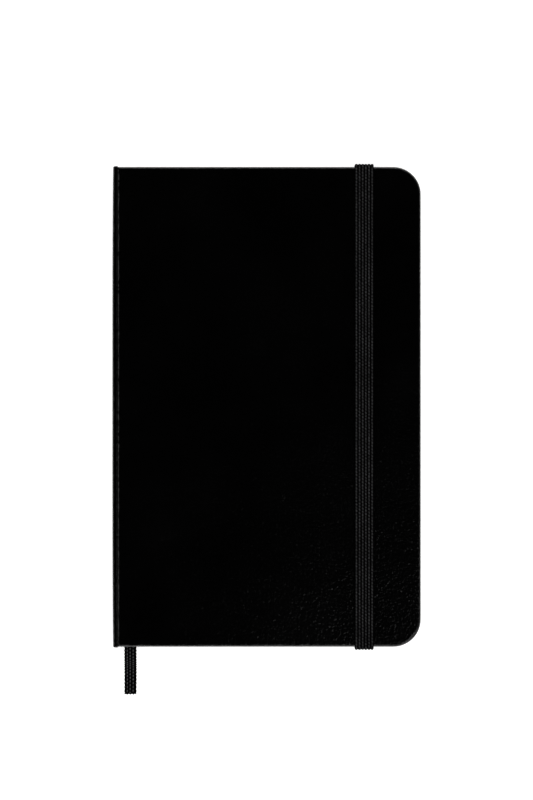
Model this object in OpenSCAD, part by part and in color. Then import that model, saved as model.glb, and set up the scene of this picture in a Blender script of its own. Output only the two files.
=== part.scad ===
// Hard-cover pocket notebook with an elastic closure and a ribbon marker.
// It lies closed on its back cover: X runs from the spine to the fore-edge,
// Y from tail to head, Z up through the thickness. Millimetres.

/* [Cover] */
// Width from the back of the spine to the fore-edge
cover_w = 90; // [75:1:130]
// Height from tail to head
cover_h = 140; // [115:1:210]
// Radius of the two fore-edge corners
corner_r = 8; // [3:0.5:14]
// Thickness of the cover boards
board_t = 1.7; // [1.2:0.1:2.6]
// Thickness of the leatherette covering
skin_t = 0.3; // [0.2:0.05:0.5]
// Width of the covering turned in over the boards
turn_in = 12; // [8:1:18]
// Radius of the covering where it rounds from a cover to the spine
shoulder_r = 1.6; // [1.2:0.1:2.4]
// How far the spine covering stands past the boards at head and tail
spine_proud = 0.25; // [0:0.05:0.6]

/* [Pages] */
// Thickness of one leaf
leaf_t = 0.08; // [0.06:0.01:0.12]
// Leaves in one folded section
leaves = 8; // [4:2:12]
// Thickness of a pastedown and of a flyleaf
endpaper_t = 0.15; // [0.1:0.05:0.3]
// How far the boards stand past the pages at head and tail
square_y = 2; // [1:0.5:4]
// How far the boards stand past the pages at the fore-edge
square_x = 2.5; // [1:0.5:4]
// Radius of the pages' fore-edge corners
page_r = 6.5; // [2:0.5:12]
// Space at the middle of the pages, where the ribbon lies
ribbon_gap = 0.5; // [0.4:0.05:1]

/* [Spine] */
// Thickness of the card strip in the spine
strip_t = 0.8; // [0.5:0.1:1.2]
// Hollow between the strip and the linings of the pages
hollow = 0.4; // [0.35:0.05:1]
// Thickness of the gauze and of the lining paper
lining_t = 0.15; // [0.1:0.05:0.3]
// Diameter of the sewing thread
thread_d = 0.24; // [0.16:0.02:0.3]
// Distance from the ends of the pages to the outermost stitches
stitch_inset = 8; // [5:1:16]
// Distance from the ends of the pages to the ends of the lining paper
paper_inset = 4; // [2:1:12]
// Distance from the ends of the pages to the ends of the gauze
gauze_inset = 10; // [4:1:20]

/* [Pocket] */
// Thickness of the folded pocket sides
gusset_t = 0.4; // [0.3:0.05:1]
// Width of the folded pocket sides
gusset_w = 7; // [4:0.5:12]
// Thickness of the pocket's card panel
panel_t = 0.25; // [0.2:0.05:0.5]
// Distance from the pocket's open side to the edge of the pages
pocket_open_inset = 3; // [1:0.5:10]

/* [Closure band] */
// Width of the elastic band
band_w = 5.5; // [4:0.5:10]
// Thickness of the elastic band
band_t = 0.8; // [0.5:0.1:1.2]
// Distance from the fore-edge to the middle of the band
band_inset = 16.5; // [12:0.5:25]
// Distance from head and tail edges to the slots in the back cover
slot_inset = 7; // [5:0.5:12]
// Length of the band's ends glued inside the back cover
band_tail = 10; // [6:1:20]
// Space between the band and the edge that it rounds
band_gap = 0.1; // [0.05:0.05:0.3]

/* [Ribbon marker] */
// Width of the ribbon
ribbon_w = 3.55; // [2.5:0.05:6]
// Thickness of the ribbon
ribbon_t = 0.3; // [0.2:0.05:0.35]

/* [Hidden] */
$fn = 64;
sections = 12;
stitches = 6;
gusset_slit = 0.2; // share of a folded pocket side's thickness that is the space in its fold
cut = 1; // how far a cutting solid runs past the face that it cuts
board_clear = 0.3; // from a joint's axis to the edge of its board
strip_clear = 0.2; // from a joint's axis to the end of the spine strip
fold_clear = 0.35; // from the gauze to the folds of the sections
slot_clear = 0.05; // around the band in its slots and recesses
groove_clear = 0.15; // beside the band in its pressed groove

// Levels up through the closed book
board_z = skin_t;
turn_z = board_z + board_t;
paste_z = turn_z + skin_t;
pocket_z = paste_z + endpaper_t;
panel_z = pocket_z + gusset_t;
back_fly_z = panel_z + panel_t;
pages_z = back_fly_z + endpaper_t;
section_t = leaf_t * leaves;
half_t = section_t * sections / 2;
gap_z = pages_z + half_t;
upper_z = gap_z + ribbon_gap;
front_fly_z = upper_z + half_t;
front_paste_z = front_fly_z + endpaper_t;
front_turn_z = front_paste_z + endpaper_t;
front_board_z = front_turn_z + skin_t;
front_skin_z = front_board_z + board_t;
book_t = front_skin_z + skin_t;

// Heights of the spine's pieces
spine_h = cover_h + 2 * spine_proud;
strip_h = spine_h - 2 * skin_t;
strip_low = shoulder_r + strip_clear;
strip_high = book_t - shoulder_r - strip_clear;
strip_run = strip_high - strip_low;
lining_run = front_fly_z - pages_z;

// Places across the book
spine_x = -cover_w / 2;
fore_x = cover_w / 2;
joint_x = spine_x + shoulder_r;
board_x = joint_x + board_clear;
strip_x = spine_x + skin_t;
paper_x = strip_x + strip_t + hollow;
gauze_x = paper_x + lining_t;
stitch_x = gauze_x + lining_t + thread_d / 2;
fold_x = gauze_x + lining_t + fold_clear;
page_x = fore_x - square_x;
page_h = cover_h - 2 * square_y;
pocket_h = page_h - 2 * square_y;
pocket_x = fold_x + pocket_open_inset;
pocket_end_x = page_x - square_y / 2;

// The band's path
band_x = fore_x - band_inset;
slot_y = cover_h / 2 - slot_inset;
groove_z = band_t + band_gap + slot_clear;
band_low_z = groove_z - band_gap - band_t;
tail_z = paste_z - band_t;

// The ribbon lies between the middle sections, leaves the pages at the tail
// and curves down to the surface that the book lies on.
ribbon_route = [
    [-40.95, 67.5, 7.3], [-40.87, 60, 7.3], [-40.79, 50, 7.3], [-40.71, 40, 7.3], [-40.63, 30, 7.3],
    [-40.55, 20, 7.3], [-40.47, 10, 7.3], [-40.39, 0, 7.3], [-40.31, -10, 7.3], [-40.23, -20, 7.3],
    [-40.15, -30, 7.3], [-40.07, -40, 7.3], [-39.99, -50, 7.3], [-39.91, -60, 7.3], [-39.88, -66, 7.3],
    [-39.88, -69.5, 7.3], [-39.89, -71.5, 7], [-39.91, -73.3, 6.1], [-39.94, -74.6, 5], [-39.97, -75.5, 3.8],
    [-40, -76.4, 2.6], [-40.03, -77.8, 1.5], [-40.06, -79.8, 0.6], [-40.08, -82.2, 0.3], [-40.1, -84.7, 0.3]
];

function section_name(n) = str("section_", n < 10 ? "0" : "", n);

// Bottom of a section. Section 1 is the uppermost, under the front cover.
function section_z(n) =
    n > sections / 2 ? pages_z + (sections - n) * section_t : upper_z + (sections / 2 - n) * section_t;

// Rectangle from x0 to x1, centred on Y, with its two corners at x1 rounded.
module leaf_outline(x0, x1, h, r) {
    translate([x0, -h / 2 + r]) square([x1 - x0, h - 2 * r]);
    translate([x0, -h / 2]) square([x1 - r - x0, h]);
    for (side = [-1, 1]) translate([x1 - r, side * (h / 2 - r)]) circle(r);
}

module sheet(x0, x1, h, r, z, t) {
    translate([0, 0, z]) linear_extrude(t) leaf_outline(x0, x1, h, r);
}

// Block centred on Y, from corner [x, z] with size [across x, along y, up z].
module bar(x, z, size) {
    translate([x, -size[1] / 2, z]) cube(size);
}

module mirror_y() {
    children();
    mirror([0, 1, 0]) children();
}

// ---- Covers ----

// The board alone, from its outer face at z
module board_blank(z) {
    sheet(board_x, fore_x - skin_t, cover_h - 2 * skin_t, corner_r - skin_t, z, board_t);
}

// The space inside the turned-in covering, which the pastedown is pressed into
module turn_in_window(z, h) {
    sheet(joint_x - cut, fore_x - turn_in, cover_h - 2 * turn_in, corner_r / 2, z, h);
}

// Leatherette over one board: outer face, edges and turn-ins. low is the bottom of
// the whole cover and turn the bottom of its turn-ins, outer the outer skin's.
module cover_skin(low, turn, outer) {
    sheet(joint_x, fore_x, cover_h, corner_r, outer, skin_t);
    difference() {
        sheet(board_x, fore_x, cover_h, corner_r, low, skin_t + board_t + skin_t);
        board_blank(min(turn, outer) + skin_t);
        turn_in_window(turn - (turn < outer ? cut : 0), skin_t + cut);
    }
}

// Covering of a joint: a quarter round about the hinge axis at height z
module joint_skin(z, up) {
    color("#161618") intersection() {
        translate([joint_x, 0, z]) rotate([90, 0, 0]) difference() {
            cylinder(h = cover_h, r = shoulder_r, center = true);
            cylinder(h = cover_h + cut, r = shoulder_r - skin_t, center = true);
        }
        translate([joint_x - shoulder_r, -cover_h / 2, up ? z : z - shoulder_r])
            cube([shoulder_r, cover_h, shoulder_r]);
    }
}

// Pastedown on the turn-ins, pressed down onto the board between them
module pastedown_sheet(plate_z, fill_z) {
    sheet(board_x, page_x, page_h, page_r, plate_z, endpaper_t);
    intersection() {
        turn_in_window(fill_z, skin_t);
        sheet(board_x, page_x, page_h, page_r, fill_z, skin_t);
    }
}

module front_covering() {
    color("#161618") cover_skin(front_turn_z, front_turn_z, front_skin_z);
}

module front_board() {
    color("#8d8577") board_blank(front_board_z);
}

module front_pastedown() {
    color("#efe8d6") pastedown_sheet(front_paste_z, front_turn_z);
}

module front_flyleaf() {
    color("#f1ead9") sheet(fold_x, page_x, page_h, page_r, front_fly_z, endpaper_t);
}

module front_joint_covering() {
    joint_skin(book_t - shoulder_r, true);
}

module back_joint_covering() {
    joint_skin(shoulder_r, false);
}

// What the band's groove, slot and glued tail take out of the back cover at the head
module band_groove() {
    half = band_w / 2 + groove_clear;
    translate([band_x - half, slot_y - band_t / 2 - slot_clear, -cut])
        cube([2 * half, slot_inset + band_t + cut, groove_z + cut]);
}

module band_slot() {
    half = band_w / 2 + slot_clear;
    translate([band_x - half, slot_y - band_t / 2 - slot_clear, -cut])
        cube([2 * half, band_t + 2 * slot_clear, paste_z + cut]);
    translate([band_x - half, slot_y - band_tail - slot_clear, tail_z])
        cube([2 * half, band_tail + slot_clear, band_t]);
}

// Where the covering is pressed into the back board under the band
module groove_lining() {
    half = band_w / 2 + groove_clear + skin_t;
    translate([band_x - half, slot_y - band_t / 2 - slot_clear - skin_t, skin_t])
        cube([2 * half, slot_inset + band_t, groove_z]);
}

module back_covering() {
    color("#161618") difference() {
        union() {
            cover_skin(0, turn_z, 0);
            intersection() {
                mirror_y() groove_lining();
                board_blank(board_z);
            }
        }
        mirror_y() band_groove();
        mirror_y() band_slot();
    }
}

module back_board() {
    color("#8d8577") difference() {
        board_blank(board_z);
        mirror_y() groove_lining();
        mirror_y() band_slot();
    }
}

module back_pastedown() {
    color("#efe8d6") difference() {
        pastedown_sheet(paste_z, turn_z);
        mirror_y() band_slot();
    }
}

module back_flyleaf() {
    color("#f1ead9") sheet(fold_x, page_x, page_h, page_r, back_fly_z, endpaper_t);
}

// ---- Spine ----

// Outer face of the spine, turned over the ends of the strip at head and tail
module spine_covering() {
    color("#161618") {
        bar(spine_x, shoulder_r, [skin_t, spine_h, book_t - 2 * shoulder_r]);
        mirror_y() translate([strip_x, strip_h / 2, strip_low])
            cube([strip_t, skin_t, strip_run]);
        mirror_y() translate([strip_x + strip_t, strip_h / 2 + skin_t - turn_in, strip_low])
            cube([skin_t, turn_in, strip_run]);
    }
}

module spine_strip() {
    color("#8d8577") bar(strip_x, strip_low, [strip_t, strip_h, strip_run]);
}

module spine_lining_paper() {
    color("#b79f74") bar(paper_x, pages_z, [lining_t, page_h - 2 * paper_inset, lining_run]);
}

module spine_gauze() {
    color("#e6e2d3") bar(gauze_x, pages_z, [lining_t, page_h - 2 * gauze_inset, lining_run]);
}

// Threads that run from section to section across their folds
module sewing_thread() {
    pitch = (page_h - 2 * stitch_inset) / (stitches - 1);
    color("#f4f2ea") for (i = [0:stitches - 1])
        translate([stitch_x, stitch_inset - page_h / 2 + i * pitch, pages_z + section_t / 2])
            cylinder(h = lining_run - section_t, d = thread_d);
}

// ---- Pages ----

// One folded section: a stack of leaves with a round fold at the spine
module section(n) {
    color(n % 2 == 0 ? "#f3ecdb" : "#ece4d0") {
        sheet(fold_x + section_t / 2, page_x, page_h, page_r, section_z(n), section_t);
        intersection() {
            translate([fold_x + section_t / 2, 0, section_z(n) + section_t / 2]) rotate([90, 0, 0])
                cylinder(h = page_h, d = section_t, center = true);
            bar(fold_x, section_z(n), [section_t / 2, page_h, section_t]);
        }
    }
}

// ---- Pocket inside the back cover ----

module pocket_panel() {
    color("#e9e1cc") sheet(pocket_x, pocket_end_x, pocket_h, page_r - square_y / 2, panel_z, panel_t);
}

// Cloth side folded once, open towards the edge: two layers and the fold between them
module gusset() {
    slit = gusset_t * gusset_slit;
    color("#1d1c1c") difference() {
        translate([pocket_x, pocket_h / 2 - gusset_w, pocket_z])
            cube([pocket_end_x - page_r - pocket_x, gusset_w, gusset_t]);
        translate([pocket_x - cut, pocket_h / 2 - gusset_w + gusset_t, pocket_z + (gusset_t - slit) / 2])
            cube([cover_w, gusset_w + cut, slit]);
    }
}

module pocket_gusset_head() {
    gusset();
}

module pocket_gusset_tail() {
    mirror([0, 1, 0]) gusset();
}

module pocket_fore_fold() {
    w = gusset_w / 2;
    color("#1d1c1c") bar(pocket_end_x - w, pocket_z, [w, pocket_h - 2 * page_r, gusset_t]);
}

// ---- Elastic closure ----

// Quarter ring of band about an edge at height z, turned by angle, running across the band
module band_turn(z, angle) {
    translate([band_x - band_w / 2, cover_h / 2, z]) rotate([angle, 0, 0]) rotate([90, 0, 90])
        rotate_extrude(angle = 90) translate([band_gap, 0]) square([band_t, band_w]);
}

module elastic_front_run() {
    color("#2b2b2d") {
        bar(band_x - band_w / 2, book_t + band_gap, [band_w, cover_h, band_t]);
        mirror_y() band_turn(book_t, 0);
    }
}

// Stretch of band that stands against the head edge
module edge_run() {
    color("#2b2b2d") translate([band_x - band_w / 2, cover_h / 2 + band_gap, groove_z])
        cube([band_w, band_t, book_t - groove_z]);
}

module elastic_head_run() {
    edge_run();
}

module elastic_tail_run() {
    mirror([0, 1, 0]) edge_run();
}

// Round the back edge, along the groove, up through the slot and flat on the inside
module band_end() {
    color("#2b2b2d") {
        band_turn(groove_z, -90);
        translate([band_x - band_w / 2, slot_y - band_t / 2, band_low_z])
            cube([band_w, slot_inset + band_t / 2, band_t]);
        translate([band_x - band_w / 2, slot_y - band_t / 2, band_low_z])
            cube([band_w, band_t, paste_z - band_low_z]);
        translate([band_x - band_w / 2, slot_y - band_tail, tail_z])
            cube([band_w, band_tail, band_t]);
    }
}

module elastic_head_end() {
    band_end();
}

module elastic_tail_end() {
    mirror([0, 1, 0]) band_end();
}

// ---- Ribbon marker ----

// Direction of the route at point i
function route_run(p, i) = p[min(i + 1, len(p) - 1)] - p[max(i - 1, 0)];

// Flat eight-sided ring of the ribbon about point i: w across, t thick
function ribbon_ring(p, i, w, t) =
    let (d = route_run(p, i), across = [1, 0, 0], up = cross(across, d) / norm(cross(across, d)),
         a = w / 2, b = a - t / 2, c = t / 2, e = c / 2)
    [for (q = [[a, e], [b, c], [-b, c], [-a, e], [-a, -e], [-b, -c], [b, -c], [a, -e]])
        p[i] + across * q[0] - up * q[1]];

module swept_ribbon(p, w, t) {
    n = 8;
    last = (len(p) - 1) * n;
    points = [for (i = [0:len(p) - 1]) each ribbon_ring(p, i, w, t)];
    sides = [for (i = [0:len(p) - 2], j = [0:n - 1])
        [i * n + j, i * n + (j + 1) % n, (i + 1) * n + (j + 1) % n, (i + 1) * n + j]];
    ends = [[for (j = [n - 1:-1:0]) j], [for (j = [0:n - 1]) last + j]];
    polyhedron(points, concat(ends, sides), convexity = 4);
}

module ribbon_marker() {
    color("#1c1c1e") swept_ribbon(ribbon_route, ribbon_w, ribbon_t);
}

front_covering();
front_board();
front_pastedown();
front_flyleaf();
front_joint_covering();
spine_covering();
spine_strip();
back_joint_covering();
back_covering();
back_board();
back_pastedown();
back_flyleaf();
pocket_panel();
pocket_gusset_head();
pocket_gusset_tail();
pocket_fore_fold();
for (n = [1:sections]) section(n);
sewing_thread();
spine_gauze();
spine_lining_paper();
ribbon_marker();
elastic_front_run();
elastic_head_run();
elastic_tail_run();
elastic_head_end();
elastic_tail_end();
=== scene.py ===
import math
import bmesh
import bpy
import numpy as np
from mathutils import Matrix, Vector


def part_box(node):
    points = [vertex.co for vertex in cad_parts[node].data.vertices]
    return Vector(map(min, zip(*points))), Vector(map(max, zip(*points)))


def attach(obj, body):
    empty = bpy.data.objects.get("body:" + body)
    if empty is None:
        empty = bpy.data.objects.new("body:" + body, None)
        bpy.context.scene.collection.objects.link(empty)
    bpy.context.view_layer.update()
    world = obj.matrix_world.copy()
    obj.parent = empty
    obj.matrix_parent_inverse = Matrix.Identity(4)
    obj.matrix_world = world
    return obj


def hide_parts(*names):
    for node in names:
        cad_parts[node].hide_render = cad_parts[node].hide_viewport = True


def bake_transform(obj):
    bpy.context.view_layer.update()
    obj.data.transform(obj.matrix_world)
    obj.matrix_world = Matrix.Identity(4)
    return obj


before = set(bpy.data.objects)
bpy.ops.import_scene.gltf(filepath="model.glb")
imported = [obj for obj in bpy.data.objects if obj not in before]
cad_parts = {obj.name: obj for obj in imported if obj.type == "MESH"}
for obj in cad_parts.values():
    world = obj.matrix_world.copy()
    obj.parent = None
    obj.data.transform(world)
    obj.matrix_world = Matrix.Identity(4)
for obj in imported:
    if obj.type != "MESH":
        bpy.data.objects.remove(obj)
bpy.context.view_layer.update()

# ---- Camera, floor and light ----
# A long lens looks straight down at the closed book, its head at the top. The sky is dark overhead and
# bright low at head, tail and spine side, a small glow lights the lower right of the cover, and a lamp
# overhead, which reflections don't show, lights the paper and the floor.
MM = 0.001
camera_rise = 1.296
camera_y = 0.002
book_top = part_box("front_covering")[1].z
camera_data = bpy.data.cameras.new("camera")
camera_data.lens = 200
camera_data.sensor_width = 36
camera_data.clip_end = 50
camera = bpy.data.objects.new("camera", camera_data)
camera.location = (0, camera_y, book_top + camera_rise)
bpy.context.scene.collection.objects.link(camera)
bpy.context.scene.camera = camera
bpy.context.scene.view_settings.view_transform = "Standard"


class Wire:
    """An output socket. Arithmetic on it adds Math nodes, and node() adds any other node to its tree."""

    def __init__(self, socket):
        self.socket = socket

    def node(self, kind, settings, inputs, output=0):
        """Adds a shader node: sets its settings, then links or fills each input, and returns an output."""
        tree = self.socket.id_data
        made = tree.nodes.new("ShaderNode" + kind)
        for name, value in settings.items():
            if name == "stops":
                set_stops(made.color_ramp, value)
            else:
                setattr(made, name, value)
        for name, value in inputs.items():
            if isinstance(value, Wire):
                tree.links.new(value.socket, made.inputs[name])
            else:
                made.inputs[name].default_value = value
        return Wire(made.outputs[output])

    def maths(self, operation, *numbers):
        """Adds a Math node that works on the numbers, which may be Wires."""
        return self.node("Math", {"operation": operation}, dict(enumerate(numbers)))

    def __add__(self, other):
        return self.maths("ADD", self, other)

    def __sub__(self, other):
        return self.maths("SUBTRACT", self, other)

    def __rsub__(self, other):
        return self.maths("SUBTRACT", other, self)

    def __mul__(self, other):
        return self.maths("MULTIPLY", self, other)

    def __pow__(self, other):
        return self.maths("POWER", self, other)

    __radd__ = __add__
    __rmul__ = __mul__


def set_stops(ramp, stops):
    """Gives a colour ramp its stops, each a position and a colour."""
    while len(ramp.elements) < len(stops):
        ramp.elements.new(1)
    for element, (position, colour) in zip(ramp.elements, stops):
        element.position = position
        element.color = (*colour, 1)


def part_of(vector, axis):
    """The X, Y or Z of a vector."""
    return vector.node("SeparateXYZ", {}, {0: vector}, axis)


def change(value, start, end, low, high, kind="LINEAR"):
    """A number that goes from low to high as value goes from start to end, and no further."""
    span = {"Value": value, "From Min": start, "From Max": end, "To Min": low, "To Max": high}
    return value.node("MapRange", {"interpolation_type": kind}, span)


def feed(shader, name, wire):
    """Links a Wire to one socket of the shader."""
    wire.socket.id_data.links.new(wire.socket, shader.inputs[name])


# Strengths of the sky. Its heights are sines of the elevation.
sky_bright = 1.3
sky_dark = 0.004
dark_from = 0.52
dark_past = 0.72
horizon_share = 0.35
dim_up_to = 0.18
full_from = 0.48
all_round = 0.2
at_ends = 2.1
tail_over_head = 0.4
at_spine = 1.4

world = bpy.data.worlds.new("studio")
world.use_nodes = True
bpy.context.scene.world = world
sky = world.node_tree.nodes["Background"]
sky.inputs["Color"].default_value = (1, 1, 1, 1)
direction = Wire(world.node_tree.nodes.new("ShaderNodeTexCoord").outputs["Generated"])
sky_x = part_of(direction, "X")
sky_y = part_of(direction, "Y")
sky_z = part_of(direction, "Z")
low_light = change(sky_z, dark_from, dark_past, sky_bright, sky_dark, "SMOOTHSTEP")
off_horizon = change(sky_z, dim_up_to, full_from, horizon_share, 1, "SMOOTHSTEP")
leftward = sky_x.maths("MAXIMUM", 0 - sky_x, 0)
ends = (sky_y * sky_y) ** 3 * (at_ends - tail_over_head * sky_y)
to_the_sides = all_round + ends + at_spine * leftward ** 6
feed(sky, "Strength", low_light * off_horizon * to_the_sides)


def add_light(name, size, energy, place):
    """Adds a square soft light at a place. It shines straight down until it is turned."""
    light = bpy.data.lights.new(name, "AREA")
    light.size = size
    light.energy = energy
    lamp = bpy.data.objects.new(name, light)
    lamp.location = place
    bpy.context.scene.collection.objects.link(lamp)
    return lamp


glow_turn = math.radians(38)
glow = add_light("glow", size=0.12, energy=0.10, place=(0.15, -0.20, 0.24))
glow.rotation_euler = (glow_turn, 0, glow_turn)
overhead = add_light("overhead", size=1.5, energy=16, place=(0, 0, 1.6))
overhead.visible_glossy = False
overhead.visible_camera = False

floor_half = 3
floor_z = -0.05 * MM
floor_corners = [(x * floor_half, y * floor_half, floor_z) for x, y in ((-1, -1), (1, -1), (1, 1), (-1, 1))]
floor_mesh = bpy.data.meshes.new("floor")
floor_mesh.from_pydata(floor_corners, [], [(0, 1, 2, 3)])
floor = bpy.data.objects.new("floor", floor_mesh)
bpy.context.scene.collection.objects.link(floor)


def new_finish(name, roughness, specular, source="Object"):
    """Starts a material: returns it, its shader, and a Wire of where each point of the piece is, from
    the object's coordinates or from the named attribute of the mesh."""
    material = bpy.data.materials.new(name)
    material.use_nodes = True
    nodes = material.node_tree.nodes
    shader = nodes["Principled BSDF"]
    shader.inputs["Roughness"].default_value = roughness
    shader.inputs["Specular IOR Level"].default_value = specular
    if source == "Object":
        return material, shader, Wire(nodes.new("ShaderNodeTexCoord").outputs["Object"])
    attribute = nodes.new("ShaderNodeAttribute")
    attribute.attribute_name = source
    return material, shader, Wire(attribute.outputs["Vector"])


def noise(place, scale, detail=2, **more):
    """Noise over a place, with about scale lumps to the metre."""
    return place.node("TexNoise", {}, {"Vector": place, "Scale": scale, "Detail": detail, **more})


def two_tones(value, dark, light, low=0.3, high=0.7):
    """A colour that goes from dark to light as value goes from low to high."""
    return value.node("ValToRGB", {"stops": [(low, dark), (high, light)]}, {0: value})


floor_finish, floor_shader, floor_place = new_finish("pale_floor", 0.9, 0.1)
floor_shader.inputs["Emission Color"].default_value = (1, 1, 1, 1)
floor_shader.inputs["Emission Strength"].default_value = 0.66
floor_tone = two_tones(noise(floor_place, 3), (0.88, 0.88, 0.88), (0.92, 0.92, 0.92), 0, 1)
feed(floor_shader, "Base Color", floor_tone)
floor_mesh.materials.append(floor_finish)

# ---- Ribbon marker ----
# A flat braid of black rayon, fixed under the head of the spine. It lies between the
# middle sections, comes out at the tail and ends in a heat-cut edge.
ribbon_w = 3.55
ribbon_t = 0.3
ribbon_rings = 940
ring_places = 41
stitch = 1.13
stitch_rise = 0.075
strand_rise = 0.02
core_inset = 0.05
edge_swell = 0.05
row_half = 0.11
stitch_rows = ((-0.93, 0.0), (-0.09, 0.5), (0.8, 0.04))
ribbon_route = np.array([
    [-40.95, 67.5, 7.3], [-40.87, 60, 7.3], [-40.79, 50, 7.3], [-40.71, 40, 7.3], [-40.63, 30, 7.3],
    [-40.55, 20, 7.3], [-40.47, 10, 7.3], [-40.39, 0, 7.3], [-40.31, -10, 7.3], [-40.23, -20, 7.3],
    [-40.15, -30, 7.3], [-40.07, -40, 7.3], [-39.99, -50, 7.3], [-39.91, -60, 7.3], [-39.88, -66, 7.3],
    [-39.88, -69.5, 7.3], [-39.89, -71.5, 7], [-39.91, -73.3, 6.1], [-39.94, -74.6, 5], [-39.97, -75.5, 3.8],
    [-40, -76.4, 2.6], [-40.03, -77.8, 1.5], [-40.06, -79.8, 0.6], [-40.08, -82.2, 0.3], [-40.1, -84.7, 0.3],
])


def lengths_along(points):
    """Distance from the first point to each point, along the line through them."""
    return np.concatenate([[0], np.cumsum(np.linalg.norm(np.diff(points, axis=0), axis=1))])


def even_line(points, count):
    """The same broken line, as count points at even distances along it."""
    at = lengths_along(points)
    even = np.linspace(0, at[-1], count)
    return np.stack([np.interp(even, at, points[:, i]) for i in range(points.shape[1])], axis=1)


def smooth_line(points, count, steps=40):
    """A curve through the points, as count points at even distances: between two points each
    coordinate is a cubic whose slope at a point is that of the line from the point before to the
    point after. It is worked out in about the given steps from point to point."""
    at = lengths_along(points)
    slope = np.gradient(points, at, axis=0)
    dense = np.linspace(0, at[-1], steps * len(points))
    k = np.clip(np.searchsorted(at, dense, side="right") - 1, 0, len(at) - 2)
    step = (at[k + 1] - at[k])[:, None]
    t = (dense - at[k])[:, None] / step
    curve = (
        (1 + 2 * t) * (1 - t) ** 2 * points[k]
        + t * (1 - t) ** 2 * step * slope[k]
        + t * t * (3 - 2 * t) * points[k + 1]
        + t * t * (t - 1) * step * slope[k + 1]
    )
    return even_line(curve, count)


def directions(points, *at):
    """The direction of the line through the points at each of them, one unit long."""
    run = np.gradient(points, *at, axis=0)
    return run / np.linalg.norm(run, axis=1)[:, None]


def there_and_back(start, end, count):
    """Places round a flat loop, count of them from start to end on its upper side and then back on its
    lower side, and with each place 1 if it is on the upper side or -1 if on the lower."""
    places = np.concatenate([np.linspace(start, end, count), np.linspace(end, start, count)[1:-1]])
    return places, np.where(np.arange(len(places)) < count, 1, -1)


def grid_faces(rows, cols, wrap=True):
    """Four-cornered faces of a grid of rows by cols points. With wrap, each row is a closed loop."""
    r, c = np.meshgrid(np.arange(rows - 1), np.arange(cols if wrap else cols - 1), indexing="ij")
    after = (c + 1) % cols
    corners = [r * cols + c, r * cols + after, (r + 1) * cols + after, (r + 1) * cols + c]
    return np.stack(corners, axis=-1).reshape(-1, 4).tolist()


def tube(loops):
    """Points and faces of a tube through the loops, which hold as many points each, its two ends closed."""
    rows, cols = loops.shape[:2]
    last = (rows - 1) * cols
    return loops.reshape(-1, 3), grid_faces(rows, cols) + [list(range(cols)), list(range(last, last + cols))]


def add_piece(name, points, faces, finish, sharp=35, **values):
    """Makes a closed mesh from points in millimetres. Edges that turn more than sharp degrees stay sharp,
    "laid" keeps each point's place at rest for the finish, and values are more numbers for each point."""
    mesh = bpy.data.meshes.new(name)
    places = np.asarray(points, float).reshape(-1, 3) * MM
    mesh.from_pydata(places.tolist(), [], faces)
    laid = mesh.attributes.new("laid", "FLOAT_VECTOR", "POINT")
    laid.data.foreach_set("vector", places.astype(np.float32).ravel())
    for key, numbers in values.items():
        kept = mesh.attributes.new(key, "FLOAT", "POINT")
        kept.data.foreach_set("value", np.asarray(numbers, np.float32).ravel())
    shell = bmesh.new()
    shell.from_mesh(mesh)
    bmesh.ops.recalc_face_normals(shell, faces=shell.faces)
    shell.to_mesh(mesh)
    shell.free()
    mesh.shade_smooth()
    mesh.set_sharp_from_angle(angle=math.radians(sharp))
    mesh.materials.append(finish)
    piece = bpy.data.objects.new(name, mesh)
    bpy.context.scene.collection.objects.link(piece)
    return piece


def kept_number(place, name):
    """A number that add_piece kept for each point of the mesh."""
    return place.node("Attribute", {"attribute_name": name}, {}, "Fac")


def bump(height, strength, distance):
    """A normal that follows a height."""
    return height.node("Bump", {}, {"Strength": strength, "Distance": distance, "Height": height})


ribbon_line = smooth_line(ribbon_route, ribbon_rings)
ribbon_at = lengths_along(ribbon_line)
ribbon_run = directions(ribbon_line, ribbon_at)
ribbon_across = np.array([1.0, 0, 0])
ribbon_up = -np.cross(ribbon_across, ribbon_run)
ribbon_up /= np.linalg.norm(ribbon_up, axis=1)[:, None]


def braid_relief(u, s):
    """How far the braid's stitches stand up at u across and s along, from 0 to 1: lengthwise rows of
    long grains, one grain to a stitch, each row round across and set off from the next along."""
    rows = np.zeros(np.broadcast(u, s).shape)
    for middle, shift in stitch_rows:
        grain = np.clip(0.5 + 0.5 * np.cos(2 * np.pi * (s / stitch + shift)), 0, 1) ** 0.9
        rows = np.maximum(rows, np.exp(-((u - middle) / row_half) ** 2) * grain)
    return rows


# Across the ribbon a loop is a very square ellipse, whose edges swell at each stitch.
ring_u, ring_side = there_and_back(1, -1, ring_places)
ring_v = ring_side * np.sqrt(1 - np.abs(ring_u) ** 6)
half_w = ribbon_w / 2 + edge_swell * np.cos(2 * np.pi * ribbon_at / stitch)
u = half_w[:, None] * ring_u[None, :]
s = ribbon_at[:, None] + 0 * u
relief = braid_relief(u, s + np.where(ring_v < 0, stitch / 2, 0)[None, :])
strands = strand_rise * np.cos(2 * np.pi * (s - np.abs(u)) / stitch)
v = ring_v[None, :] * (ribbon_t / 2 - core_inset + strands + stitch_rise * relief)

# The cut end is scalloped, and near its melted edge the stitches get no painted highlight.
scallop_run = 0.4
scallop_deep = 0.12
scallop_step = 0.9
melted_run = 0.45
near_end = np.clip((ribbon_at - ribbon_at[-1] + scallop_run) / scallop_run, 0, 1)[:, None]
scallop = near_end * scallop_deep * np.cos(2 * np.pi * u / scallop_step)
unmelted = np.clip((ribbon_at[-1] - ribbon_at) / melted_run, 0, 1)[:, None]
ribbon_points = (
    ribbon_line[:, None, :]
    + u[..., None] * ribbon_across
    + v[..., None] * ribbon_up[:, None, :]
    + scallop[..., None] * ribbon_run[:, None, :]
)

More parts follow.
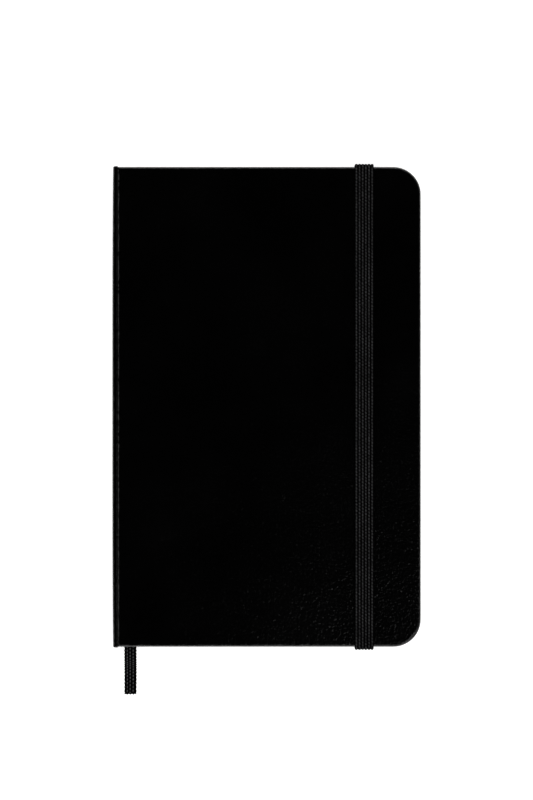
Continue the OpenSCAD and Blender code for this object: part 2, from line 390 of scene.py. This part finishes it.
ribbon_finish, ribbon_shader, ribbon_place = new_finish("ribbon_braid", 0.75, 0.02, "laid")
fibre = noise(ribbon_place, 5200)
# Painted highlight: the stitch crests, from the crest numbers kept on the mesh, are painted light grey where
# the braid's sheen would catch the light. The rest stays near black.
ribbon_painted_highlight = kept_number(ribbon_place, "crest") ** 1.6 * (0.55 + 0.9 * fibre)
ribbon_tone = two_tones(ribbon_painted_highlight, (0.0006, 0.0006, 0.0006), (0.17, 0.17, 0.174), 0, 1)
feed(ribbon_shader, "Base Color", ribbon_tone)
feed(ribbon_shader, "Normal", bump(fibre, 0.35, 0.04 * MM))
# The crest numbers are the mask of the painted highlight on the stitches.
ribbon = add_piece("ribbon_marker_braid", *tube(ribbon_points), ribbon_finish, crest=relief * unmelted)
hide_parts("ribbon_marker")
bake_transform(ribbon)

# ---- Folded sections ----
# Twelve sections of ivory paper, each four sheets folded one inside the other. Their folds
# are glued to the gauze on the spine. The leaves are made as they lie in the closed book, with places close
# together near the folds.
def box_mm(node):
    """Lowest and highest corner of a CAD node, in millimetres."""
    return np.array([list(corner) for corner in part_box(node)]) / MM


fold_low, leaf_high = box_mm("section_12")
fold_x = fold_low[0]
page_x = leaf_high[0]
page_half = leaf_high[1]
page_r = 6.5
section_t = leaf_high[2] - fold_low[2]
sheets = 4
leaf_step = section_t / (2 * sheets)
leaf_share = 0.85
leaf_t = leaf_share * leaf_step
bend_run = 18.0
flat_x = fold_x + bend_run + 1
bend_places = 22
flat_places = 10
round_places = 13
middle_low = box_mm("section_07")[1][2]
middle_high = box_mm("section_06")[0][2]
block_low = fold_low[2]
block_high = box_mm("section_01")[1][2]
settle_x = -36
settle_run = 40


def leaf_half(x, x1, half, r):
    """Half height of a leaf at x: full, and within r of its edge x1 that of a quarter round."""
    past = np.clip(x - (x1 - r), 0, r)
    return half - r + np.sqrt(np.maximum(r * r - past * past, 0))


def leaf_stations(x0):
    """Places along a leaf from x0 near its fold to its fore-edge, close together where it bends or rounds."""
    near = np.linspace(x0, flat_x, bend_places)
    far = np.linspace(flat_x, page_x - page_r, flat_places)
    corner = page_x - page_r * (1 - np.sin(np.linspace(0, np.pi / 2, round_places)))
    return np.concatenate([near, far[1:], corner[1:]])


def ease(t):
    """Goes smoothly from 0 to 1 with t, level at both: three times its square less twice its cube."""
    t = np.clip(t, 0, 1)
    return t * t * (3 - 2 * t)


def settle(x, z):
    """Height of a point of the pages once they close up past the ribbon: it moves towards the middle
    gap by up to half the gap, in proportion to how far up or down the pages it is."""
    close = (middle_high - middle_low) / 2 * ease((x - settle_x) / settle_run)
    lower = close * (z - block_low) / (middle_low - block_low)
    upper = -close * (block_high - z) / (block_high - middle_high)
    return z + np.where(z < (middle_low + middle_high) / 2, lower, upper)


def thin_sheet(x, z, thick, half):
    """A strip of paper carried along the line x, z: at each place a flat loop of four corners, half to
    either side of the middle and half the thickness to either side of the line."""
    run = directions(np.stack([x, z], axis=1))
    off_x = -run[:, 1] * thick / 2
    off_z = run[:, 0] * thick / 2
    sides = [(-1, 1), (1, 1), (1, -1), (-1, -1)]
    return np.stack([np.stack([x + f * off_x, e * half, z + f * off_z], axis=1) for e, f in sides], axis=1)


def gather(shapes):
    """The points and faces of several shapes, as those of one."""
    points, faces = [], []
    start = 0
    for shape_points, shape_faces in shapes:
        points.append(shape_points)
        faces += [[start + i for i in face] for face in shape_faces]
        start += len(shape_points)
    return np.concatenate(points), faces


def folded_sheet(bottom, radius):
    """Points and faces of one sheet of a section whose lowest leaf starts at bottom: a line along its
    upper leaf, round a half circle about the fold and back along its lower leaf."""
    centre_x = fold_x + section_t / 2
    centre_z = bottom + section_t / 2
    along = leaf_stations(centre_x)
    turn = np.linspace(np.pi / 2, 3 * np.pi / 2, round_places)[1:-1]
    x = np.concatenate([along[::-1], centre_x + radius * np.cos(turn), along])
    z = np.concatenate([0 * along + radius, radius * np.sin(turn), 0 * along - radius]) + centre_z
    return tube(thin_sheet(x, settle(x, z), leaf_t, leaf_half(x, page_x, page_half, page_r)))


def ruled_every(place, axis, step):
    """Distance to the nearest of a set of lines that lie a step apart along an axis, worked out from a
    line well outside the book."""
    first_line = 0.2
    at = part_of(place, axis) + first_line
    return at.maths("PINGPONG", at, step / 2)


def cover_with(factor, under, over):
    """The colour under, covered with the colour over as far as the factor says."""
    return factor.node("Mix", {"data_type": "RGBA"}, {0: factor, 6: under, 7: over}, 2)


rule_step = 6 * MM
rule_top = 57.5 * MM
rule_bottom = -64.5 * MM
rule_grey = (0.25, 0.27, 0.3, 1)
layer_scale = (20, 20, 3800)
layer_shade = (0.42, 0.36, 0.25, 1)


def paper_finish(name, light, dark, source, ruled=False):
    """Uncoated paper: two close tones in soft clouds, fine fibres, and on pages faint ruled lines
    that run across the leaf, 6 mm apart. Where the surface stands upright, at the edges of the
    leaves, thin layers of shade show the leaves one on another."""
    material, shader, place = new_finish(name, 0.85, 0.25, source)
    cloud = noise(place, 60, 3)
    fibres = noise(place, 2500, 4, Roughness=0.7)
    tone = two_tones(0.6 * cloud + 0.4 * fibres, dark, light)
    if ruled:
        line = change(ruled_every(place, "Y", rule_step), 0.05 * MM, 0.16 * MM, 0.38, 0)
        y = part_of(place, "Y")
        under_head = y.maths("LESS_THAN", y, rule_top)
        over_tail = y.maths("GREATER_THAN", y, rule_bottom)
        tone = cover_with(line * under_head * over_tail, tone, rule_grey)
    level = part_of(place.node("NewGeometry", {}, {}, "True Normal"), "Z")
    upright = 1 - level.maths("ABSOLUTE", level)
    layered = place.node("VectorMath", {"operation": "MULTIPLY"}, {0: place, 1: layer_scale})
    gap = change(noise(layered, 1, 3), 0.42, 0.62, 0, 0.6)
    feed(shader, "Base Color", cover_with(gap * upright, tone, layer_shade))
    feed(shader, "Normal", bump(fibres, 0.25, 0.03 * MM))
    return material


page_finish = paper_finish("page_paper", (0.86, 0.79, 0.62), (0.80, 0.72, 0.54), "laid", ruled=True)
for number in range(1, 13):
    node = f"section_{number:02d}"
    body = "front_cover" if number <= 6 else "root"
    bottom = box_mm(node)[0][2]
    folded = gather([folded_sheet(bottom, section_t / 2 - (k + 0.5) * leaf_step) for k in range(sheets)])
    section = add_piece(f"{node}_sheets", *folded, page_finish)
    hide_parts(node)
    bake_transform(section)

# ---- Flyleaves and pastedowns ----
# Heavier ivory endpapers: a free flyleaf on either side of the sections, and a pastedown
# glued inside each cover over the turned-in covering.
endpaper_finish = paper_finish("endpaper_sheet", (0.84, 0.77, 0.60), (0.79, 0.71, 0.54), "laid")
for node, body in (("back_flyleaf", "root"), ("front_flyleaf", "front_cover")):
    low, high = box_mm(node)
    x = np.concatenate([np.linspace(low[0], low[0] + 1, 4)[:-1], leaf_stations(low[0] + 1)])
    z = 0 * x + (low[2] + high[2]) / 2
    sheet = thin_sheet(x, z, high[2] - low[2], leaf_half(x, high[0], high[1], page_r))
    flyleaf = add_piece(f"{node}_sheet", *tube(sheet), endpaper_finish)
    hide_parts(node)
    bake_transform(flyleaf)


def paint_nodes(finish, *names):
    """Gives CAD nodes a finish."""
    for name in names:
        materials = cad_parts[name].data.materials
        materials.clear()
        materials.append(finish)


pasted_paper = paper_finish("pasted_paper", (0.84, 0.77, 0.60), (0.78, 0.70, 0.53), "Object")
paint_nodes(pasted_paper, "front_pastedown", "back_pastedown")

# ---- Sewing thread, gauze and lining paper ----
# White linen thread links the sections across their folds. Open cotton gauze and a strip of
# brown paper are glued over it to hold the backs of the sections together.
thread_low, thread_high = box_mm("sewing_thread")
thread_x = (thread_low[0] + thread_high[0]) / 2
station_y = thread_low[1] + (thread_high[0] - thread_low[0]) / 2
stations = 6
ply_r = 0.062
ply_off = 0.95 * ply_r
fold_dip = 0.03


def fibre_finish(name, roughness, specular, grain, dark, light, strength, depth):
    """Matt stuff made of fibres: two tones in a noise, whose sockets grain gives, and the same noise
    standing up from the surface by the depth."""
    material, shader, place = new_finish(name, roughness, specular)
    fibres = place.node("TexNoise", {}, {"Vector": place, **grain})
    feed(shader, "Base Color", two_tones(fibres, dark, light))
    feed(shader, "Normal", bump(fibres, strength, depth))
    return material


def twisted_thread(y, plies=2, lay=0.9, rings=120, sides=8):
    """Points and faces of a thread that stands at y: each ply is a round tube whose line winds once
    round the thread in every lay of height, and the thread dips into each fold on its way."""
    z = np.linspace(thread_low[2], thread_high[2], rings)
    around = np.linspace(0, 2 * np.pi, sides + 1)[:-1]
    dip = fold_dip * np.cos(2 * np.pi * (z - block_low) / section_t)
    shapes = []
    for k in range(plies):
        wind = 2 * np.pi * (z / lay + k / plies)
        shapes.append(tube(np.stack([
            (thread_x + dip + ply_off * np.cos(wind))[:, None] + ply_r * np.cos(around),
            y + ply_off * np.sin(wind)[:, None] + ply_r * np.sin(around),
            z[:, None] + 0 * around,
        ], axis=-1)))
    return gather(shapes)


thread_finish = fibre_finish("linen_thread", 0.7, 0.3, {"Scale": 9000, "Detail": 2},
                             (0.62, 0.60, 0.54), (0.85, 0.83, 0.76), 0.4, 0.03 * MM)
threads = gather([twisted_thread(y) for y in np.linspace(station_y, -station_y, stations)])
thread = add_piece("sewing_thread_plies", *threads, thread_finish)
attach(thread, "spine")
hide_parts("sewing_thread")

yarn_step = 0.6 * MM
gauze_finish, gauze_shader, gauze_place = new_finish("open_gauze", 0.9, 0.2)
yarn_y = ruled_every(gauze_place, "Y", yarn_step)
yarn_z = ruled_every(gauze_place, "Z", yarn_step)
yarn = yarn_y.maths("MINIMUM", yarn_y, yarn_z)
gauze_tone = two_tones(noise(gauze_place, 1500), (0.66, 0.63, 0.52), (0.82, 0.79, 0.68))
feed(gauze_shader, "Base Color", gauze_tone)
feed(gauze_shader, "Alpha", change(yarn, 0.10 * MM, 0.13 * MM, 1, 0))
feed(gauze_shader, "Normal", bump(yarn_step / 2 - yarn, 0.6, 0.3))
paint_nodes(gauze_finish, "spine_gauze")

kraft_finish = fibre_finish("brown_lining_paper", 0.8, 0.25, {"Scale": 900, "Detail": 5, "Distortion": 0.6},
                            (0.30, 0.20, 0.11), (0.42, 0.30, 0.17), 0.3, 0.04 * MM)
paint_nodes(kraft_finish, "spine_lining_paper")

# ---- Boards and spine strip ----
# Grey pulp board, two boards and a thinner strip for the spine. The covering hides them, and
# they show only when the pieces are taken apart.
board_finish = fibre_finish("grey_board", 0.9, 0.2, {"Scale": 1300, "Detail": 6, "Roughness": 0.7},
                            (0.19, 0.17, 0.14), (0.32, 0.29, 0.24), 0.4, 0.06 * MM)
paint_nodes(board_finish, "front_board", "back_board", "spine_strip")

# ---- Covering of the two covers ----
# One sheet of black grained leatherette, glued over the boards and turned in 12 mm at the head,
# the fore-edge and the tail. It is made here in five pieces that meet edge to edge.
skin = 0.3
cover_low, cover_high = box_mm("front_covering")
cover_x = cover_high[0]
cover_half = cover_high[1]
cover_deep = cover_high[2] - cover_low[2]
corner_r = 8.0
turn_in = 12.0
seam_x = -42.6
edge_out = 0.8
edge_in = 0.6
face_lead = 0.5
turned_lead = 0.3
turned_flat = 3


def edge_profile(deep, outer, inner, places=10):
    """Section of the covering where it goes round an edge, as distance in from the edge and depth from
    the outer face: out along the outer face, round the outer and inner radius, in along the turned-in
    part, and back inside it at the thickness of the covering. Sizes may be arrays, one for each ring,
    and places is the number of points round each radius."""
    deep, outer, inner = (np.atleast_1d(size)[:, None] for size in (deep, outer, inner))
    a = np.linspace(0, np.pi / 2, places)[None, :]
    back = a[:, ::-1]
    flat = 0 * deep
    outside = [
        (outer + face_lead, flat), (outer + face_lead / 2, flat),
        (outer - outer * np.sin(a), outer - outer * np.cos(a)),
        (inner - inner * np.cos(a), deep - inner + inner * np.sin(a)),
        (inner + turned_lead, deep), (inner + turned_flat, deep), (turn_in + flat, deep),
    ]
    inside = [
        (turn_in + flat, deep - skin), (inner + turned_flat, deep - skin), (inner + turned_lead, deep - skin),
        (inner - (inner - skin) * np.cos(back), deep - inner + (inner - skin) * np.sin(back)),
        (outer - (outer - skin) * np.sin(back), outer - (outer - skin) * np.cos(back)),
        (outer + face_lead / 2, flat + skin), (outer + face_lead, flat + skin),
    ]
    pairs = outside + inside
    rows = len(deep)
    d = np.concatenate([np.broadcast_to(p[0], (rows, np.shape(p[0])[1])) for p in pairs], axis=1)
    n = np.concatenate([np.broadcast_to(p[1], (rows, np.shape(p[1])[1])) for p in pairs], axis=1)
    return d, n


def cover_outline(d, corner_places=19, head_places=25, fore_places=13):
    """The cover's outline moved in by d, from the seam along the head, round the two fore-edge corners
    and back along the tail. A corner's radius is that of the cover less d, and 4 mm at least."""
    d = np.asarray(d)[None, :]
    r = np.maximum(corner_r - d, turn_in - corner_r)
    cx = cover_x - d - r
    cy = cover_half - d - r
    a = np.linspace(0, np.pi / 2, corner_places)[:, None]
    t = np.linspace(0, 1, head_places)[:-1, None]
    m = np.linspace(1, -1, fore_places)[1:-1, None]
    head = (seam_x + (cx - seam_x) * t, cy + r + 0 * t)
    corner = (cx + r * np.sin(a), cy + r * np.cos(a))
    x = np.concatenate([head[0], corner[0], cx + r + 0 * m, corner[0][::-1], head[0][::-1]])
    y = np.concatenate([head[1], corner[1], cy * m, -corner[1][::-1], -head[1][::-1]])
    return x, y


def cover_shell(top, up):
    """The covering of one board: the edge profile carried round the outline, the outer and inner flat
    faces, and a C-shaped end at the seam. Depth runs down from top, or up from it if up is 1."""
    d, n = edge_profile(cover_deep, edge_out, edge_in)
    x, y = cover_outline(d[0])
    z = top + up * n + 0 * x
    rows, cols = x.shape
    first = np.arange(rows) * cols
    faces = grid_faces(rows, cols, wrap=False)
    faces += [first.tolist(), (first + cols - 1).tolist()]
    faces.append(list(range(cols)) + list(range(rows * cols - 1, (rows - 1) * cols - 1, -1)))
    return np.stack([x, y, z], axis=-1), faces


def leather_finish(name):
    """Black leatherette: a fine pebbled grain of domed cells, bent out of shape and broken up by finer
    and coarser noise, with a soft gloss that is a little rougher in patches."""
    material, shader, place = new_finish(name, 0.25, 0.5, "laid")
    bend = 0.4 * MM
    warp = place.node("TexNoise", {}, {"Vector": place, "Scale": 900, "Detail": 2}, "Color")
    bent = place.node("VectorMath", {"operation": "MULTIPLY_ADD"}, {0: warp, 1: (bend, bend, bend), 2: place})
    pebbles = place.node("TexVoronoi", {"feature": "SMOOTH_F1"},
                         {"Vector": bent, "Scale": 1500, "Smoothness": 0.4})
    fine = noise(place, 4200, 3)
    patches = noise(place, 45, 3)
    coarse = noise(place, 850)
    height = (1 - pebbles) * (0.6 + 0.7 * patches) + 0.35 * fine + 1.3 * coarse
    tone = two_tones(patches, (0.0002, 0.0002, 0.0002), (0.0005, 0.0005, 0.0005), 0.3, 0.75)
    feed(shader, "Base Color", tone)
    feed(shader, "Roughness", 0.15 + 0.10 * patches)
    feed(shader, "Normal", bump(height, 0.7, 0.14 * MM))
    return material


leatherette = leather_finish("leatherette")
front_covering = add_piece("front_covering_leatherette", *cover_shell(cover_high[2], -1), leatherette)
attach(front_covering, "front_cover")
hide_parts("front_covering")

# The back cover has the same covering, with a pressed groove from each slot to the edge. The ends
# of the elastic lie in the grooves, so that the book rests flat.
band_low, band_high = box_mm("elastic_head_end")
band_half = (band_high[0] - band_low[0]) / 2
band_x = (band_high[0] + band_low[0]) / 2
band_t = 0.8
band_end = 10
slot_y = 63.0
slot_gap = 0.05
groove_gap = 0.15
groove_z = 0.95
recess_z = 1.5
above_z = 4
below_z = -1


def block(low, high):
    """A scratch block between two corners in millimetres, for cutting."""
    mesh = bpy.data.meshes.new("block")
    x, y, z = np.meshgrid(*[np.array([low[i], high[i]]) * MM for i in range(3)], indexing="ij")
    mesh.from_pydata(np.stack([x, y, z], axis=-1).reshape(-1, 3).tolist(), [], [
        (0, 1, 3, 2), (4, 6, 7, 5), (0, 4, 5, 1), (2, 3, 7, 6), (0, 2, 6, 4), (1, 5, 7, 3)])
    made = bpy.data.objects.new("block", mesh)
    bpy.context.scene.collection.objects.link(made)
    return made


def carve(piece, operation, tool):
    """Joins a block to a piece or cuts it away, for good, and removes the block."""
    modifier = piece.modifiers.new("carve", "BOOLEAN")
    modifier.operation = operation
    modifier.object = tool
    modifier.solver = "EXACT"
    made = bpy.data.meshes.new_from_object(piece.evaluated_get(bpy.context.evaluated_depsgraph_get()))
    piece.modifiers.clear()
    piece.data = made
    bpy.data.objects.remove(tool)


def along_band(side, gap, inner_y, outer_y, low_z, high_z):
    """A block on the band's line on one side of the book, wider than the band by a gap on either side,
    between two distances from the book's middle and two heights."""
    y = sorted((side * inner_y, side * outer_y))
    return block((band_x - band_half - gap, y[0], low_z), (band_x + band_half + gap, y[1], high_z))


back_covering = add_piece("back_covering_leatherette", *cover_shell(0, 1), leatherette)
slot_in = slot_y - band_t / 2 - slot_gap
slot_out = slot_y + band_t / 2 + slot_gap
for side in (1, -1):
    groove_wall = along_band(side, groove_gap + skin, slot_in - skin, cover_half - skin / 2,
                             skin / 2, groove_z + skin)
    carve(back_covering, "UNION", groove_wall)
    groove = along_band(side, groove_gap, slot_in, cover_half + 1, below_z, groove_z)
    carve(back_covering, "DIFFERENCE", groove)
    slot = along_band(side, slot_gap, slot_in, slot_out, below_z, above_z)
    carve(back_covering, "DIFFERENCE", slot)
    recess = along_band(side, slot_gap, slot_y - band_end - slot_gap, slot_y, recess_z, above_z)
    carve(back_covering, "DIFFERENCE", recess)
laid = back_covering.data.attributes["laid"]
places = np.zeros(3 * len(back_covering.data.vertices), np.float32)
back_covering.data.vertices.foreach_get("co", places)
laid.data.foreach_set("vector", places)
back_covering.data.set_sharp_from_angle(angle=math.radians(35))
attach(back_covering, "root")
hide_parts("back_covering")

# ---- Covering of the joints and the spine ----
# The same leatherette runs round the spine strip. A crease is pressed beside each board, and the
# covering is turned over at head and tail, where it stands a little past the boards.
spine_low, spine_high = box_mm("spine_covering")
spine_x = spine_low[0]
spine_half = spine_high[1]
shoulder = 1.6
joint_x = spine_x + shoulder
book_mid = box_mm("front_covering")[1][2] / 2
square = 4.6
crease_deep = 0.19
crease_run = 0.3
crease_off = 0.03
bow = 0.22

# Sizes of the turned-over edge at the joint, where it is thinner than at the board.
joint_deep = 1.4
joint_out = 0.5
joint_in = 0.42
pinch_deep = 0.55
pinch_run = 0.5
board_run = 0.55
spine_run = 0.7
change_off = 0.1
outer_share = 0.52
inner_share = 0.46
crease_past = 0.2
crease_fade = 0.8
joint_rings = 64
wall_rings = 16


def crease(x):
    """Depth of the pressed crease beside the board, a smooth dip about the joint."""
    return crease_deep * np.exp(-(((x - joint_x - crease_off) / crease_run) ** 2))


def joint_line(count, flat_places=12, round_places=200):
    """Half of the book's outline in end view, from the seam over the crease and round the shoulder,
    which is a rounded square: the powers of its two coordinates add up to one. Height is measured
    from the centre of the shoulder."""
    flat = np.linspace(seam_x, joint_x, flat_places)[:-1]
    a = np.linspace(0, np.pi / 2, round_places)
    x = np.concatenate([flat, joint_x - shoulder * np.sin(a) ** (2 / square)])
    h = np.concatenate([0 * flat + shoulder, shoulder * np.cos(a) ** (2 / square)])
    return even_line(np.stack([x, h], axis=1), count)


def spine_shell(x, h, base, up, places=41):
    """The covering carried along the line x, h, where h is height above the shoulder's centre: at each
    place a C-shaped section across the book, thick at the board, pinched at the crease and as thick
    as the covered strip at the spine. base is the shoulder centre's height, and up is 1 or -1."""
    near = ease((x - joint_x - change_off) / board_run)
    away = ease((joint_x + change_off - x) / spine_run)
    pinched = joint_deep - pinch_deep * np.exp(-(((x - joint_x) / pinch_run) ** 2))
    deep = pinched + (cover_deep - pinched) * near
    outer = np.minimum(joint_out + (edge_out - joint_out) * near, deep * outer_share)
    inner = np.minimum(joint_in + (edge_in - joint_in) * near, deep * inner_share)
    half = cover_half + (spine_half - cover_half) * away
    d, n = edge_profile(deep, outer, inner)
    m = np.linspace(-1, 1, places)[None, 1:-1]
    edge = half[:, None] - d
    across = half[:, None] - outer[:, None] - face_lead
    y = np.concatenate([-across * m, -edge, across * m, edge[:, ::-1]], axis=1)
    depth = np.concatenate([0 * across * m, n, 0 * across * m + skin, n[:, ::-1]], axis=1)
    on_wall = h[:, None] < 0
    inward_x = np.where(on_wall, 1, np.where(x < joint_x, (joint_x - x) / shoulder, 0)[:, None])
    inward_h = np.where(on_wall, 0, np.where(x < joint_x, -h / shoulder, -1)[:, None])
    dip = crease(x)[:, None] * np.clip((cover_half + crease_past - np.abs(y)) / crease_fade, 0, 1)
    keep = np.clip(1 - depth / deep[:, None], 0, 1)
    px = x[:, None] + inward_x * depth + bow * away[:, None] * (np.abs(y) / spine_half) ** 4
    ph = h[:, None] + inward_h * depth - dip * keep
    return np.stack([px, y, base + up * ph], axis=-1)


line = joint_line(joint_rings)
for name, body, base, up in (("front_joint_covering", "front_cover", 2 * book_mid - shoulder, 1),
                             ("back_joint_covering", "root", shoulder, -1)):
    joint_shell = tube(spine_shell(line[:, 0], line[:, 1], base, up))
    joint = add_piece(f"{name}_leatherette", *joint_shell, leatherette)
    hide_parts(name)
    on_cover = (joint_x * MM, 0, (base + up * shoulder) * MM)
    on_spine = (spine_x * MM, 0, base * MM)
    if up == 1:
        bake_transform(joint)
    else:
        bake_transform(joint)

# The spine's wall starts a hair below the shoulder's centre, so that spine_shell takes it as wall.
hair = 1e-9
wall_h = np.linspace(0, shoulder - book_mid, wall_rings) - hair
wall_x = 0 * wall_h + spine_x
upper = spine_shell(wall_x, wall_h, 2 * book_mid - shoulder, 1)
lower = spine_shell(wall_x, wall_h, shoulder, -1)[::-1]
wall = tube(np.concatenate([upper, lower[1:]]))
spine_covering = add_piece("spine_covering_leatherette", *wall, leatherette)
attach(spine_covering, "spine")
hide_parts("spine_covering")

# ---- Pocket inside the back cover ----
# A panel of ivory card on strips of black cloth, which are folded like a bellows at head and tail and
# close the fore-edge. They are glued to the back pastedown, and the pocket opens towards the spine.
card_finish = paper_finish("pocket_card", (0.82, 0.75, 0.58), (0.76, 0.68, 0.51), "Object")
paint_nodes(card_finish, "pocket_panel")
cloth_finish, cloth_shader, cloth_place = new_finish("pocket_cloth", 0.8, 0.3)
weft = cloth_place.node("TexWave", {"bands_direction": "X"}, {"Vector": cloth_place, "Scale": 700})
warp = cloth_place.node("TexWave", {"bands_direction": "Y"}, {"Vector": cloth_place, "Scale": 700})
weave = weft.maths("MAXIMUM", weft, warp)
feed(cloth_shader, "Base Color", two_tones(weave, (0.006, 0.006, 0.007), (0.022, 0.022, 0.024), 0.2, 0.9))
feed(cloth_shader, "Normal", bump(weave, 0.5, 0.08 * MM))
paint_nodes(cloth_finish, "pocket_gusset_head", "pocket_gusset_tail", "pocket_fore_fold")

# ---- Elastic closure band ----
# A flat knitted elastic with six ribs, each a rubber thread wrapped in black yarn. Its ends go
# through slots in the back cover and are glued under the pastedown.
ribs = 6
rib_places = 8
turn_r = 0.5
turn_z = 0.95
glued_z = 1.9
knit = 0.95
knit_off = 2.4
ring_gap = 0.24
core_half = 0.05
rib_rise = 0.31
rib_swell = 0.1
rib_sway = 0.045
rib_full = 0.98


def arc(cy, cz, start, end, count=9):
    """Points of an arc of the band's middle line about (cy, cz), from one angle to another."""
    a = np.radians(np.linspace(start, end, count))
    return np.stack([cy + turn_r * np.cos(a), cz + turn_r * np.sin(a)], axis=1)


def ribbed_band(path, s0):
    """The band carried along a line in y and z: across it, the two faces are a row of six half
    ellipses, which swell and shift a little from side to side with each knitted loop."""
    at = lengths_along(path)
    count = max(4, int(round(at[-1] / ring_gap)) + 1)
    path = even_line(path, count)
    s = (s0 + np.linspace(0, at[-1], count))[:, None]
    run = directions(path)
    up = np.stack([-run[:, 1], run[:, 0]], axis=1)
    u, face = there_and_back(0, ribs, ribs * rib_places + 1)
    rib = np.minimum(np.floor(u), ribs - 1)
    in_rib = 2 * (u - rib) - 1
    round_up = np.sqrt(np.clip(1 - rib_full * in_rib**2, 0, 1))
    phase = 2 * np.pi * s / knit + knit_off * rib
    height = face * (core_half + rib_rise * round_up * (1 + rib_swell * np.cos(phase)))
    across = (u / ribs - 0.5) * (2 * band_half) + rib_sway * np.sin(phase) * round_up
    points = np.stack([
        band_x + across,
        path[:, 0][:, None] + height * up[:, 0][:, None],
        path[:, 1][:, None] + height * up[:, 1][:, None],
    ], axis=-1)
    # round_up and loops go out as the masks of the finish's painted light: the crest of each rib and the
    # bulge of each knitted loop.
    loops = np.clip(0.5 + 0.5 * np.cos(phase), 0, 1)
    return points, round_up + 0 * s, loops


elastic, elastic_shader, elastic_place = new_finish("knitted_elastic", 0.85, 0.02, "laid")
crest = kept_number(elastic_place, "crest")
loop = kept_number(elastic_place, "loop")
yarns = noise(elastic_place, 2600, 3)
worn = noise(elastic_place, 160)
# Painted light: the rib crests and loop bulges are painted lighter as a painted highlight. The grooves
# between the ribs stay near black as painted shade. Yarn noise and a coarser noise vary it at random.
painted_rib_light = crest ** 10 * (0.15 + 0.9 * loop) * (2 * yarns) ** 2.5 * (0.5 + worn)
feed(elastic_shader, "Base Color", two_tones(painted_rib_light, (0.0003, 0.0003, 0.0003), (0.042, 0.042, 0.043), 0, 1))
feed(elastic_shader, "Normal", bump(yarns, 0.5, 0.06 * MM))

mirror = np.array([-1, 1])
head_end = np.concatenate([
    [[slot_y - band_end, glued_z]],
    arc(slot_y - turn_r, glued_z - turn_r, 90, 0, 6),
    arc(slot_y + turn_r, turn_z, 180, 270, 6),
    arc(cover_half, turn_z, -90, 0),
])
side_run = np.array([[cover_half + turn_r, turn_z], [cover_half + turn_r, 2 * book_mid]])
front_turn = arc(cover_half, 2 * book_mid, 0, 90)
front_line = np.concatenate([front_turn, (front_turn * mirror)[::-1]])
runs = [
    ("elastic_head_end", head_end, "root"),
    ("elastic_head_run", side_run, "band"),
    ("elastic_front_run", front_line, "band"),
    ("elastic_tail_run", (side_run * mirror)[::-1], "band"),
    ("elastic_tail_end", (head_end * mirror)[::-1], "root"),
]
s0 = 0.0
for node, path, body in runs:
    points, crests, loops = ribbed_band(path, s0)
    s0 += lengths_along(path)[-1]
    run = add_piece(f"{node}_knit", *tube(points), elastic, sharp=60, crest=crests, loop=loops)
    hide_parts(node)
    if node in ("elastic_head_run", "elastic_tail_run"):
        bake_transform(run)
    else:
        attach(run, body)
